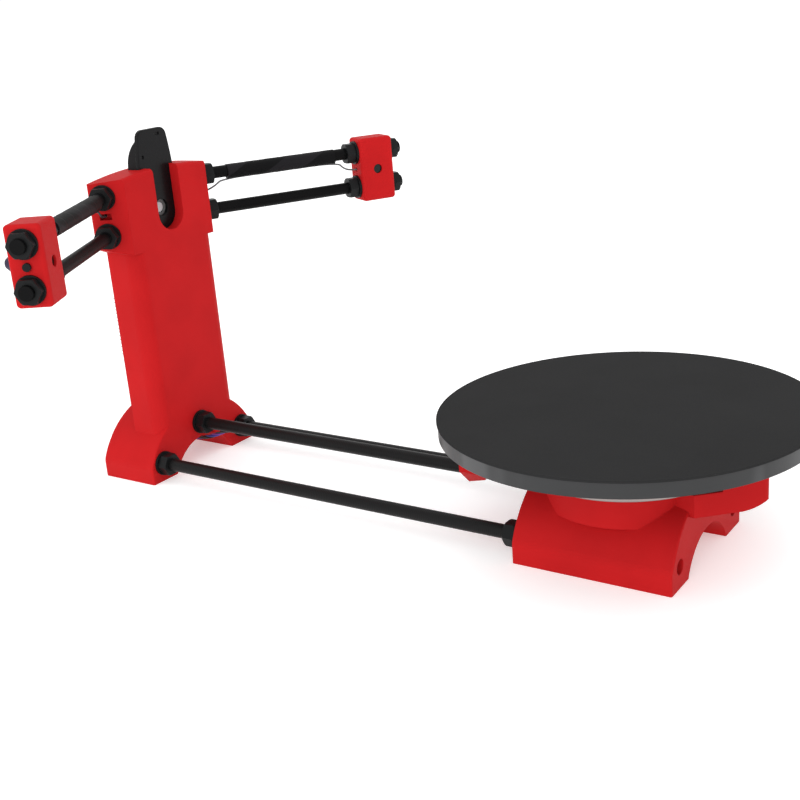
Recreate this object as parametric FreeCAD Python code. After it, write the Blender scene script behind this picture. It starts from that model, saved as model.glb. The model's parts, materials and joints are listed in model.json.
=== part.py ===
import FreeCAD, Part
import math
import os

# A desktop 3D scanner of printed blocks, black rods and nuts. A tower holds a portrait webcam
# and two arms, each with a line laser. Three base rods join the tower to the motor holder,
# whose bearing carries a turntable. Millimetres, +Z up, +X the way that the webcam looks,
# and the scanner's own left is +Y. Sizes below are measured from the turntable's axis and
# the floor. The exported model stands centred on the middle of its footprint.

# Rods, nuts and washers
rod_diameter = 8.0
rod_stub = 2.5
nut_across_flats = 13.0
nut_height = 6.5
thin_nut_height = 4.6
nut_bevel = 0.7
washer_diameter = 16.0
washer_thickness = 1.6
rod_hole_play = 0.2
thread_play = 0.05
pocket_play = 0.4

# Feet and base rods
low_rod_spacing = 77.0
low_rod_height = 12.0
middle_rod_height = 28.0
tower_distance = 312.0
foot_length = 45.0
foot_half_width = 49.5
foot_arc_radius = 54.0
foot_arc_drop = 10.0
arch_radius = 30.0
arch_drop = 12.0
foot_rounding = 1.0
shoulder_rounding = 10.0
rod_end_clearance = 0.4
lead_groove_y = 16.0
lead_groove_width = 7.0
lead_groove_depth = 5.6

# Tower column and head
column_half_width = 36.5
column_depth = 25.0
column_edge_radius = 9.0
head_margin = 13.0
head_depth = 22.0
head_crown_radius = 260.0
head_rounding = 3.0
wing_rounding = 2.0
wing_tip_rise = 5.8
wing_face_half_span = 43.9
wing_face_set_back = 12.6
wing_wall = 14.0
rod_pocket_room = 1.0
lead_slot_width = 7.4
lead_slot_height = 3.8
lead_slot_depth = 5.0
lead_bore_diameter = 3.0
lead_bore_offset = 2.0
lead_bore_reach = 22.0

# Arms and laser holders
arm_rod_low_height = 164.0
arm_rod_spacing = 24.0
holder_reach = 114.0
holder_length = 25.0
holder_depth = 20.0
holder_margin = 10.0
holder_rounding = 2.5
sleeve_start = 18.4
sleeve_end_gap = 16.8
sleeve_wall = 0.45
sleeve_play = 0.05
laser_lead_diameter = 1.2
lead_hole_play = 0.9

# Laser modules
barrel_diameter = 12.0
barrel_tail = 1.5
cap_length = 4.5
cap_tip_radius = 2.2
aperture_diameter = 6.4
aperture_wall = 1.5
laser_lens_diameter = 7.0
laser_lens_thickness = 1.5
pin_play = 0.05
screw_diameter = 3.0
screw_head_diameter = 5.5
screw_head_height = 2.4
lock_head_diameter = 4.5
lock_head_height = 1.5

# Webcam and its slot
webcam_half_width = 15.4
webcam_end_half_width = 12.0
webcam_length = 70.0
webcam_corner_radius = 5.5
webcam_front_set_back = 7.6
bezel_thickness = 2.5
shell_depth = 7.3
shell_wall = 1.6
shell_crown_radius = 20.0
shell_crown_drop = 22.0
window_half_width = 11.0
window_sill = 6.3
slot_play = 0.4
slot_floor = 3.0
slot_corner_radius = 4.0
seat_gap = 0.3
lens_centre_rise = 20.0
lens_recess_diameter = 10.8
lens_ring_thickness = 1.6
lens_ring_recess = 2.2
lens_glass_diameter = 7.0
lens_glass_thickness = 1.4
dent_depth = 0.8
notch_offset = 2.2
notch_width = 4.2
notch_height = 1.8
notch_drop = 2.8
microphone_offset = 10.6
microphone_drop = 16.7
microphone_radius = 1.2
sensor_board_thickness = 1.2
sensor_board_depth = 3.0
lens_barrel_diameter = 8.4
webcam_screw_rise = 36.0
gland_diameter = 5.2
gland_length = 7.6
gland_rise = 11.0

# Motor holder
holder_cylinder_radius = 44.5
holder_cylinder_top = 46.6
bearing_shoulder = 1.0
bearing_shoulder_width = 4.6
boss_wall = 5.0
boss_drop = 0.4
motor_roof = 5.0
motor_roof_top = 55.0
rear_arm_half_width = 10.0
rear_arm_top = 46.0
rear_arm_end = 100.0
rear_arm_grip = 44.0
rear_arm_heel = 9.0
rear_arm_slope = 14.0
rear_arm_clearance = 1.0
low_rod_front_recess = 7.0
nose_root_x = 37.0
nose_root_half_width = 24.4
nose_corner_x = 48.0
nose_half_width = 27.5
nose_reach = 76.5
nose_tip_radius = 3.0
nose_top = 60.0
nose_underside = 34.3
nose_tip_rise = 5.7
nose_rise_length = 11.0
nose_running_gap = 1.5

# Bearing
bearing_bore_radius = 35.0
bearing_outer_radius = 55.0
bearing_width = 13.0
race_edge_rounding = 0.6
ball_radius = 4.3
ball_count = 18
ball_play = 0.1
cage_thickness = 3.6
cage_height = 10.6

# Turntable
disc_radius = 99.4
disc_thickness = 8.0
mat_radius = 100.0
mat_thickness = 1.0
carrier_rest = 1.0
carrier_thickness = 7.4
carrier_lip_wall = 2.4
carrier_lip_drop = 4.6
hub_radius = 8.0
hub_drop = 4.1
disc_top_skin = 0.5
carrier_screw_circle = 42.0

# Stepper motor
motor_side = 42.3
motor_height = 34.0
motor_corner = 4.0
motor_cap_height = 9.0
motor_waist = 0.4
motor_play = 0.3
shaft_diameter = 5.0
shaft_length = 24.0
pilot_diameter = 22.0
pilot_height = 2.0
motor_screw_spacing = 31.0
motor_screw_bite = 4.5
motor_socket_depth = 5.8
motor_socket_width = 16.0
motor_socket_height = 8.0
motor_lead_diameter = 3.2

# Control board on the tower's back
board_width = 53.4
board_length = 68.6
board_thickness = 1.6
board_bottom = 58.0
standoff_height = 5.0
standoff_radius = 3.2
board_hole_inset = 6.5
header_width = 2.5
usb_width = 12.0
usb_length = 16.0
usb_height = 10.8
usb_overhang = 6.0
usb_offset = 5.0
usb_wall = 1.5
jack_width = 9.0
jack_length = 14.0
jack_overhang = 2.0
jack_offset = 8.0
jack_bore = 6.3
jack_pin_radius = 1.0
driver_width = 15.2
driver_length = 20.3
driver_offset = 2.0
driver_rise = 26.0
driver_header_height = 4.5
heat_sink_side = 9.0
heat_sink_height = 4.6
heat_sink_fins = 5
motor_plug_width = 12.5
motor_plug_depth = 6.0
motor_plug_height = 7.0
motor_plug_offset = 20.0
laser_plug_width = 7.5
laser_plug_height = 6.0
laser_plug_offset = 13.0
button_side = 6.0
button_height = 3.5
button_cap_radius = 1.75
button_cap_stand = 1.3
button_travel = 0.25
button_offset = 14.0
button_rise = 44.0

# Worked out from the sizes above
vector = FreeCAD.Vector
rod_radius = rod_diameter / 2
washer_radius = washer_diameter / 2
nut_stack = washer_thickness + nut_height
tower_front = -tower_distance
foot_back = tower_front - foot_length
column_back = tower_front - column_depth
low_rod_y = low_rod_spacing / 2
rod_rear_end = foot_back + rod_end_clearance
rear_nut_face = rod_rear_end + rod_stub + nut_stack
pocket_radius = washer_radius + pocket_play
arm_rod_high_height = arm_rod_low_height + arm_rod_spacing
laser_height = (arm_rod_low_height + arm_rod_high_height) / 2
head_back = tower_front - head_depth
head_bottom = arm_rod_low_height - head_margin
head_top = arm_rod_high_height + head_margin
slot_bottom = head_bottom + slot_floor
window_bottom = slot_bottom + window_sill
laser_reach = holder_reach + holder_length / 2
wing_face_x = tower_front - wing_face_set_back
barrel_radius = barrel_diameter / 2
screw_radius = screw_diameter / 2
holder_outer = holder_reach + holder_length
arm_rod_end = holder_outer + washer_thickness + thin_nut_height + rod_stub
arm_rod_start = -wing_wall - nut_stack - rod_stub
race_thickness = (bearing_outer_radius - bearing_bore_radius) / 2 - ball_radius - ball_play
bearing_bottom = holder_cylinder_top + bearing_shoulder
bearing_top = bearing_bottom + bearing_width
carrier_bottom = bearing_top + carrier_rest
disc_bottom = carrier_bottom + carrier_thickness
disc_top = disc_bottom + disc_thickness
motor_top = motor_roof_top - motor_roof
motor_bottom = motor_top - motor_height
board_face = column_back - standoff_height
board_back = board_face - board_thickness
board_top = board_bottom + board_length

# Each arm is swept forward until its laser's beam meets the turntable's axis.
arm_angle = math.asin(laser_reach / math.hypot(wing_face_x, wing_face_half_span))
arm_angle += math.atan2(wing_face_half_span, -wing_face_x)

# The origin lies under the middle of the length from the tower's foot to the mat's edge.
to_origin = vector(-(foot_back + mat_radius) / 2, 0, 0)
sides = {"left": 1, "right": -1}
parts = {}


def box(x_from, x_to, y_from, y_to, z_from, z_to):
    corner = vector(min(x_from, x_to), min(y_from, y_to), min(z_from, z_to))
    return Part.makeBox(abs(x_to - x_from), abs(y_to - y_from), abs(z_to - z_from), corner)


def bar(start, end, radius):
    return Part.makeCylinder(radius, (end - start).Length, start, end - start)


def bar_x(x_from, x_to, y, z, radius):
    return bar(vector(x_from, y, z), vector(x_to, y, z), radius)


def bar_z(z_from, z_to, radius, x=0, y=0):
    return bar(vector(x, y, z_from), vector(x, y, z_to), radius)


def prism(points, along):
    return Part.Face(Part.makePolygon(points + points[:1])).extrude(along)


def joined(first, *others):
    return first.fuse(list(others)).removeSplitter()


def mirrored(shape):
    return shape.mirror(vector(0, 0, 0), vector(0, 1, 0))


def edges_where(shape, test):
    return [edge for edge in shape.Edges if test(edge.BoundBox)]


def rounded(shape, radius, test):
    return shape.makeFillet(radius, edges_where(shape, test))


def at(value, target):
    return abs(value - target) < 0.01


# Arm coordinates: reach outward along the rods from the wing's face, then along the beam.
def arm_point(side, reach, forward, height):
    sine = math.sin(arm_angle)
    cosine = math.cos(arm_angle)
    x = wing_face_x + reach * sine + forward * cosine
    y = wing_face_half_span + reach * cosine - forward * sine
    return vector(x, side * y, height)


def on_arm(shape, side):
    turned = shape.copy()
    turned.rotate(vector(0, 0, 0), vector(0, 0, 1), math.degrees(arm_angle) - 90)
    turned.translate(vector(wing_face_x, -wing_face_half_span, 0))
    return mirrored(turned) if side > 0 else turned


# A hexagon nut and a washer along +X from the origin
def nut(height):
    corner = nut_across_flats / math.sqrt(3)
    points = []
    for index in range(6):
        angle = math.radians(60 * index)
        points.append(vector(0, corner * math.cos(angle), corner * math.sin(angle)))
    body = prism(points, vector(height, 0, 0))
    cone = Part.makeCone(corner - nut_bevel, corner + height, height + nut_bevel, vector(), vector(1, 0, 0))
    flipped = cone.mirror(vector(height / 2, 0, 0), vector(1, 0, 0))
    hole = bar_x(-1, height + 1, 0, 0, rod_radius + thread_play)
    return body.common(cone).common(flipped).cut(hole)


def washer():
    hole = bar_x(-1, washer_thickness + 1, 0, 0, rod_radius + rod_hole_play)
    return bar_x(0, washer_thickness, 0, 0, washer_radius).cut(hole)


# Puts a nut and a washer on an X rod: the washer lies on the face at x, outward is +1 or -1.
def fasten(nuts, washers, x, y, z, outward, height=nut_height):
    ring = washer()
    hexagon = nut(height)
    hexagon.translate(vector(washer_thickness, 0, 0))
    for shape, group in ((ring, washers), (hexagon, nuts)):
        if outward < 0:
            shape = shape.mirror(vector(0, 0, 0), vector(1, 0, 0))
        shape.translate(vector(x, y, z))
        group.append(shape)


# A cord through points chosen by hand: straight runs joined by tangent arcs.
def cord(name, points, diameter):
    edges = []
    start = points[0]
    length = 0.0
    radii = []
    for before, corner, after in zip(points, points[1:], points[2:]):
        incoming = (corner - before).normalize()
        outgoing = (after - corner).normalize()
        turn = incoming.getAngle(outgoing)
        reach = 0.45 * min((corner - before).Length, (after - corner).Length)
        radius = reach / math.tan(turn / 2)
        bend_start = corner - incoming * reach
        bend_end = corner + outgoing * reach
        toward = (outgoing - incoming).normalize()
        bend_middle = corner + toward * (radius / math.cos(turn / 2) - radius)
        edges.append(Part.LineSegment(start, bend_start).toShape())
        edges.append(Part.Arc(bend_start, bend_middle, bend_end).toShape())
        length += (bend_start - start).Length + radius * turn
        radii.append(round(radius, 1))
        start = bend_end
    edges.append(Part.LineSegment(start, points[-1]).toShape())
    length += (points[-1] - start).Length
    path = Part.Wire(edges)
    section = Part.Wire(Part.Circle(points[0], points[1] - points[0], diameter / 2).toShape())
    tube = path.makePipeShell([section], True, False)
    expected = math.pi * diameter ** 2 / 4 * length
    print(name, "length", round(length, 1), "radii", radii, "volume ratio", round(tube.Volume / expected, 4))
    return tube


# Feet share one arched section, which stands on the floor along X.
def foot_section(x_from, x_to):
    outline = bar_x(x_from, x_to, 0, -foot_arc_drop, foot_arc_radius)
    walls = box(x_from, x_to, -foot_half_width, foot_half_width, 0, foot_arc_radius)
    foot = outline.common(walls)
    shoulder = math.sqrt(foot_arc_radius ** 2 - foot_half_width ** 2) - foot_arc_drop
    ends = (x_from, x_to)

    def on_shoulder(bounds):
        return at(bounds.ZMin, shoulder) and at(bounds.ZMax, shoulder)

    def on_end(bounds):
        flat = at(bounds.XMin, bounds.XMax) and min(abs(bounds.XMin - end) for end in ends) < 0.01
        return flat and bounds.ZMax > foot_rounding

    return rounded(rounded(foot, shoulder_rounding, on_shoulder), foot_rounding, on_end)


def arch_tunnel(x_from, x_to):
    return bar_x(x_from, x_to, 0, -arch_drop, arch_radius)


# Webcam heights, shared by the webcam and its slot in the tower
webcam_bottom = slot_bottom + seat_gap
webcam_top = webcam_bottom + webcam_length
webcam_front = tower_front - webcam_front_set_back
bezel_back = webcam_front - bezel_thickness
shell_back = bezel_back - shell_depth
lens_height = webcam_bottom + lens_centre_rise
webcam_screw_height = webcam_bottom + webcam_screw_rise
gland_height = webcam_bottom + gland_rise
slot_back = shell_back - seat_gap


# The webcam's upright outline, wider at its middle, its corners rounded, drawn in by inset
def webcam_block(x_from, x_to, inset):
    half = webcam_half_width - inset
    end_half = webcam_end_half_width - inset
    low = webcam_bottom + inset
    high = webcam_top - inset
    middle = (low + high) / 2
    lines = []
    for side in sides.values():
        ends = [vector(x_from, side * end_half, z) for z in (low, high)]
        lines.append(Part.Arc(ends[0], vector(x_from, side * half, middle), ends[1]).toShape())
    for z in (low, high):
        lines.append(Part.LineSegment(vector(x_from, -end_half, z), vector(x_from, end_half, z)).toShape())
    outline = Part.Wire(Part.__sortEdges__(lines))
    block = Part.Face(outline).extrude(vector(x_to - x_from, 0, 0))
    return rounded(block, webcam_corner_radius - inset, lambda b: at(b.XLength, abs(x_to - x_from))
                   and b.ZLength < 0.01)


# The shell's back curves forward to the top.
def under_crown(shape, inset):
    centre_x = shell_back + shell_crown_radius
    centre_z = webcam_top - shell_crown_drop
    half = webcam_half_width + 1
    ends = [vector(centre_x, y, centre_z) for y in (-half, half)]
    crown = bar(ends[0], ends[1], shell_crown_radius - inset)
    below = box(shell_back + inset, webcam_front + 1, -half, half, slot_bottom, centre_z)
    return shape.common(joined(crown, below))


# The webcam slides down into a pocket behind a lip, whose narrower window shows its front.
def webcam_slot():
    half = webcam_half_width + slot_play
    lip_back = webcam_front + seat_gap
    pocket = box(slot_back, lip_back, -half, half, slot_bottom, head_top + 1)
    pocket = rounded(pocket, slot_corner_radius, lambda b: at(b.XLength, lip_back - slot_back)
                     and at(b.ZMax, slot_bottom))
    front = tower_front + 1
    centre = window_bottom + window_half_width
    window = bar_x(front, bezel_back, 0, centre, window_half_width)
    above = box(front, bezel_back, -window_half_width, window_half_width, centre, head_top + 1)
    return joined(pocket, window, above)


# Places of the screws through the control board
def board_holes():
    y = board_width / 2 - board_hole_inset
    low = board_bottom + usb_length - usb_overhang + board_hole_inset
    high = board_top - board_hole_inset
    return [(sign * y, z) for sign in (-1, 1) for z in (low, high)]


def camera_tower():
    foot = foot_section(foot_back, tower_front)
    column = box(column_back, tower_front, -column_half_width, column_half_width, middle_rod_height,
                 head_bottom + 1)
    column = rounded(column, column_edge_radius,
                     lambda b: at(b.XMin, tower_front) and b.ZLength > 1 and b.YLength < 0.01)

    front_forward = wing_face_set_back / math.cos(arm_angle)
    rear_forward = (head_back - wing_face_x) / math.cos(arm_angle)
    plan = [arm_point(1, 0, front_forward, head_bottom), arm_point(1, 0, rear_forward, head_bottom)]
    plan += [vector(point.x, -point.y, point.z) for point in reversed(plan)]
    head = prism(plan, vector(0, 0, head_top - head_bottom))
    wing_half_width = plan[1].y
    tip = head_bottom + wing_tip_rise
    section = []
    for y, z in ((column_half_width, head_bottom), (wing_half_width, tip), (wing_half_width, head_top)):
        section.append(vector(head_back, y, z))
    section += [vector(head_back, -point.y, point.z) for point in reversed(section)]
    crown = bar_x(head_back, tower_front, 0, head_top - head_crown_radius, head_crown_radius)
    head = head.common(crown).common(prism(section, vector(head_depth, 0, 0)))
    head = rounded(head, wing_rounding, lambda b: at(b.XMax, head_back) and b.YLength < 0.01)
    head = rounded(head, head_rounding, lambda b: at(b.XMin, tower_front) and b.ZMin > head_top
                   - head_rounding * 3)
    tower = joined(foot, column, head)

    cuts = [arch_tunnel(foot_back - 1, tower_front + 1), webcam_slot()]
    for y, z in ((-low_rod_y, low_rod_height), (low_rod_y, low_rod_height), (0, middle_rod_height)):
        cuts.append(bar_x(foot_back - 1, tower_front + 1, y, z, rod_radius + rod_hole_play))
        cuts.append(bar_x(foot_back - 1, rear_nut_face, y, z, pocket_radius))
    groove_half = lead_groove_width / 2
    cuts.append(box(foot_back - 1, foot_back + lead_groove_depth, lead_groove_y - groove_half,
                    lead_groove_y + groove_half, 0, foot_arc_radius))
    pocket_inner = arm_rod_start - rod_pocket_room
    pocket_mouth = -2 * head_depth
    slot_half = lead_slot_width / 2
    for side in sides.values():
        for height in (arm_rod_low_height, arm_rod_high_height):
            pocket = box(pocket_inner, -wing_wall, pocket_mouth, pocket_radius, height - pocket_radius,
                         height + pocket_radius)
            cuts.append(on_arm(pocket, side))
            cuts.append(on_arm(bar_x(-wing_wall - 1, 1, 0, height, rod_radius + rod_hole_play), side))
        low = laser_height - lead_slot_height / 2
        high = laser_height + lead_slot_height / 2
        cuts.append(on_arm(box(-lead_slot_depth, 1, -slot_half, slot_half, low, high), side))
        bore_start = arm_point(side, -lead_bore_reach, -lead_bore_offset, laser_height)
        bore_end = arm_point(side, 1 - lead_slot_depth, -lead_bore_offset, laser_height)
        cuts.append(bar(bore_start, bore_end, lead_bore_diameter / 2))
    cuts.append(bar_x(column_back - 1, slot_back + 1, 0, webcam_screw_height, screw_radius + pin_play))
    cuts.append(bar_x(column_back - 1, slot_back + 1, 0, gland_height, gland_diameter / 2 + 1))
    for y, z in board_holes():
        tower = tower.fuse(bar_x(board_face, column_back + 1, y, z, standoff_radius))
        cuts.append(bar_x(board_face - 1, column_back + standoff_height, y, z, screw_radius + pin_play))
    return tower.removeSplitter().cut(cuts)


def motor_holder():
    half = foot_length
    foot = foot_section(-half, half)
    cylinder = bar_z(middle_rod_height, holder_cylinder_top, holder_cylinder_radius)
    shoulder = bar_z(holder_cylinder_top - 1, bearing_bottom, bearing_bore_radius + bearing_shoulder_width)
    boss = bar_z(holder_cylinder_top - 1, bearing_top - boss_drop, bearing_bore_radius - pin_play)
    body = joined(foot, cylinder, shoulder, boss, rear_arm(), nose())

    inner = bearing_bore_radius - boss_wall
    motor_half = motor_side / 2 + motor_play
    socket_half = motor_socket_width / 2 + motor_play
    socket_back = -motor_side / 2 - motor_socket_depth - motor_play
    cuts = [arch_tunnel(-half - 1, half + 1)]
    cuts.append(bar_z(motor_roof_top, bearing_top + 1, inner))
    cuts.append(box(-motor_half, motor_half, -motor_half, motor_half, -1, motor_top))
    cuts.append(box(socket_back, 0, -socket_half, socket_half, -1,
                    motor_bottom + motor_socket_height + motor_socket_depth))
    cuts.append(bar_z(motor_top - 1, motor_roof_top + 1, pilot_diameter / 2 + rod_hole_play))
    for x, y in motor_screw_places():
        cuts.append(bar_z(motor_top - 1, motor_roof_top + 1, screw_radius + pin_play, x, y))
    for y in (-low_rod_y, low_rod_y):
        cuts.append(bar_x(-half - 1, half + 1, y, low_rod_height, rod_radius + rod_hole_play))
    cuts.append(bar_x(-rear_arm_end - 1, rear_arm_grip - rear_arm_end, 0, middle_rod_height,
                      rod_radius + rod_hole_play))
    return body.cut(cuts)


# The arm that holds the middle rod: its underside is a keel, which rises away from its end.
def rear_arm():
    half = rear_arm_half_width
    end = -rear_arm_end
    root = foot_rounding * 2 - foot_length
    bottom = middle_rod_height + rear_arm_clearance
    keel = middle_rod_height - rear_arm_heel
    section = [vector(end, -half, rear_arm_top), vector(end, -half, bottom), vector(end, 0, keel),
               vector(end, half, bottom), vector(end, half, rear_arm_top)]
    block = prism(section, vector(root - end, 0, 0))
    slope_end = end + rear_arm_slope
    profile = [vector(end, -half, keel), vector(slope_end, -half, middle_rod_height - rod_radius),
               vector(slope_end + rod_radius, -half, bottom), vector(root, -half, bottom),
               vector(root, -half, rear_arm_top), vector(end, -half, rear_arm_top)]
    return block.common(prism(profile, vector(0, 2 * half, 0)))


# The nose in front of the bearing: a bow in plan, whose underside rises to its tip.
def nose():
    step = bearing_outer_radius + pin_play + carrier_lip_wall + nose_running_gap
    flank = math.atan2(nose_half_width, nose_reach - nose_corner_x)
    apex = nose_reach + nose_tip_radius * (1 / math.sin(flank) - 1)
    half_plan = [vector(nose_root_x, nose_root_half_width, 0), vector(nose_corner_x, nose_half_width, 0)]
    plan = [vector(point.x, -point.y, 0) for point in half_plan] + [vector(apex, 0, 0)] + half_plan[::-1]
    bow = rounded(prism(plan, vector(0, 0, nose_top)), nose_tip_radius, lambda b: at(b.XMin, apex))
    y = -nose_half_width - 1
    end = nose_reach + 1
    rise_start = end - nose_rise_length
    tip_underside = nose_underside + nose_tip_rise
    corners = [vector(end, y, tip_underside), vector(end, y, nose_top), vector(step, y, nose_top),
               vector(step, y, holder_cylinder_top), vector(nose_root_x, y, holder_cylinder_top),
               vector(nose_root_x, y, nose_underside), vector(rise_start, y, nose_underside)]
    bend = vector((rise_start + end) / 2, y, nose_underside + nose_tip_rise / 4)
    profile = [Part.Arc(corners[-1], bend, corners[0]).toShape()]
    for first, second in zip(corners, corners[1:]):
        profile.append(Part.LineSegment(first, second).toShape())
    return bow.common(Part.Face(Part.Wire(profile)).extrude(vector(0, -2 * y, 0)))


def base_rods():
    nuts = []
    washers = []
    rear = vector(rod_rear_end, 0, 0)
    front = foot_length - low_rod_front_recess
    for name, side in sides.items():
        y = side * low_rod_y
        parts["base_rod_" + name] = bar_x(rear.x, front, y, low_rod_height, rod_radius)
        fasten(nuts, washers, tower_front, y, low_rod_height, 1)
        fasten(nuts, washers, rear_nut_face, y, low_rod_height, -1)
        fasten(nuts, washers, -foot_length, y, low_rod_height, -1)
    middle_end = rear_arm_grip - rear_arm_end - rod_stub
    parts["base_rod_middle"] = bar_x(rear.x, middle_end, 0, middle_rod_height, rod_radius)
    fasten(nuts, washers, tower_front, 0, middle_rod_height, 1)
    fasten(nuts, washers, rear_nut_face, 0, middle_rod_height, -1)
    parts["base_nuts"] = Part.makeCompound(nuts)
    parts["base_washers"] = Part.makeCompound(washers)


# The sleeve is pulled tight round the upper rod and the lead under it.
sleeve_inner_radius = (rod_diameter + laser_lead_diameter + 3 * sleeve_play) / 2
sleeve_drop = (laser_lead_diameter + sleeve_play) / 2
lead_drop = rod_radius + sleeve_play + laser_lead_diameter / 2
sleeve_end = holder_reach - sleeve_end_gap
sleeve_length = sleeve_end - sleeve_start


def laser_holder():
    low = arm_rod_low_height - holder_margin
    high = arm_rod_high_height + holder_margin
    half = holder_depth / 2
    block = box(holder_reach, holder_outer, -half, half, low, high)
    block = block.makeFillet(holder_rounding, block.Edges)
    cuts = []
    for height in (arm_rod_low_height, arm_rod_high_height):
        cuts.append(bar_x(holder_reach - 1, holder_outer + 1, 0, height, rod_radius + rod_hole_play))
    rear = vector(laser_reach, -half - 1, laser_height)
    seat = vector(laser_reach, half - aperture_wall, laser_height)
    front = vector(laser_reach, half + 1, laser_height)
    cuts.append(bar(rear, seat, barrel_radius + pin_play))
    cuts.append(bar(rear, front, aperture_diameter / 2))
    cuts.append(bar_x(laser_reach, holder_outer + 1, 0, laser_height, screw_radius + pin_play))
    lead_hole = laser_lead_diameter / 2 + lead_hole_play
    cuts.append(bar_x(holder_reach - 1, laser_reach, 0, laser_height, lead_hole))
    return block.cut(cuts)


# Barrel, lens and rear cap of a laser module, turned about the beam to level its line
def laser_module():
    half = holder_depth / 2
    seat = vector(laser_reach, half - aperture_wall - pin_play, laser_height)
    tail = vector(laser_reach, -half - barrel_tail, laser_height)
    lens_back = seat - vector(0, laser_lens_thickness, 0)
    cap_end = tail - vector(0, cap_length, 0)
    barrel = bar(tail, seat, barrel_radius).cut(bar(lens_back, front_of(seat), laser_lens_diameter / 2))
    lens = bar(lens_back, seat, laser_lens_diameter / 2 - pin_play)
    cap = Part.makeCone(barrel_radius - pin_play, cap_tip_radius, cap_length, tail, cap_end - tail)
    cap = rounded(cap, cap_tip_radius / 2, lambda b: at(b.YMax, cap_end.y))
    return barrel, lens, cap


def front_of(point):
    return point + vector(0, 1, 0)


# A lead from its plug on the control board, through the wing and the sleeve, to the laser.
def laser_lead(side):
    plug_x = board_back - laser_plug_height / 2
    sleeve_z = arm_rod_high_height - lead_drop
    end = laser_reach - barrel_radius - pin_play
    points = [vector(plug_x, side * laser_plug_offset, board_top),
              vector(plug_x, side * laser_plug_offset, board_top + 13),
              vector(column_back - 10, side * 15.6, board_top + 27),
              vector(column_back - 9.6, side * 21.4, board_top + 39),
              vector(column_back - 7.6, side * 28.2, laser_height - 1.6),
              arm_point(side, -18.2, -lead_bore_offset - 0.3, laser_height),
              arm_point(side, -9.5, -lead_bore_offset, laser_height),
              arm_point(side, 2.6, -1.2, laser_height + 0.2),
              arm_point(side, 9.6, 0, sleeve_z - 4.2),
              arm_point(side, 15.2, 0, sleeve_z),
              arm_point(side, sleeve_end + 2.6, 0, sleeve_z),
              arm_point(side, holder_reach - 9.4, -0.5, laser_height + 1.8),
              arm_point(side, holder_reach - 3, 0, laser_height),
              arm_point(side, end, 0, laser_height)]
    return cord("laser lead", points, laser_lead_diameter)


def arms():
    nuts = []
    washers = []
    thin_nuts = []
    for height in (arm_rod_low_height, arm_rod_high_height):
        fasten(nuts, washers, 0, 0, height, 1)
        fasten(nuts, washers, -wing_wall, 0, height, -1)
        fasten(nuts, washers, holder_reach, 0, height, -1)
        fasten(thin_nuts, washers, holder_outer, 0, height, 1, thin_nut_height)
    sleeve_z = arm_rod_high_height - sleeve_drop
    sleeve = bar_x(sleeve_start, sleeve_end, 0, sleeve_z, sleeve_inner_radius + sleeve_wall)
    sleeve = sleeve.cut(bar_x(sleeve_start - 1, sleeve_end + 1, 0, sleeve_z, sleeve_inner_radius))
    lock_tip = laser_reach + barrel_radius + pin_play
    lock_screw = bar_x(lock_tip, holder_outer, 0, laser_height, screw_radius)
    lock_screw = joined(lock_screw, bar_x(holder_outer, holder_outer + lock_head_height, 0, laser_height,
                                          lock_head_diameter / 2))
    barrel, lens, cap = laser_module()
    for group, shapes in (("arm_nuts", nuts), ("arm_end_nuts", thin_nuts), ("arm_washers", washers),
                          ("laser_lock_screws", [lock_screw])):
        both = [on_arm(shape, side) for side in sides.values() for shape in shapes]
        parts[group] = Part.makeCompound(both)
    for name, side in sides.items():
        parts["laser_holder_" + name] = on_arm(laser_holder(), side)
        parts["arm_rod_upper_" + name] = on_arm(
            bar_x(arm_rod_start, arm_rod_end, 0, arm_rod_high_height, rod_radius), side)
        parts["arm_rod_lower_" + name] = on_arm(
            bar_x(arm_rod_start, arm_rod_end, 0, arm_rod_low_height, rod_radius), side)
        parts["lead_sleeve_" + name] = on_arm(sleeve, side)
        parts["laser_barrel_" + name] = on_arm(barrel, side)
        parts["laser_lens_" + name] = on_arm(lens, side)
        parts["laser_cap_" + name] = on_arm(cap, side)
        parts["laser_lead_" + name] = laser_lead(side)


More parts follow.
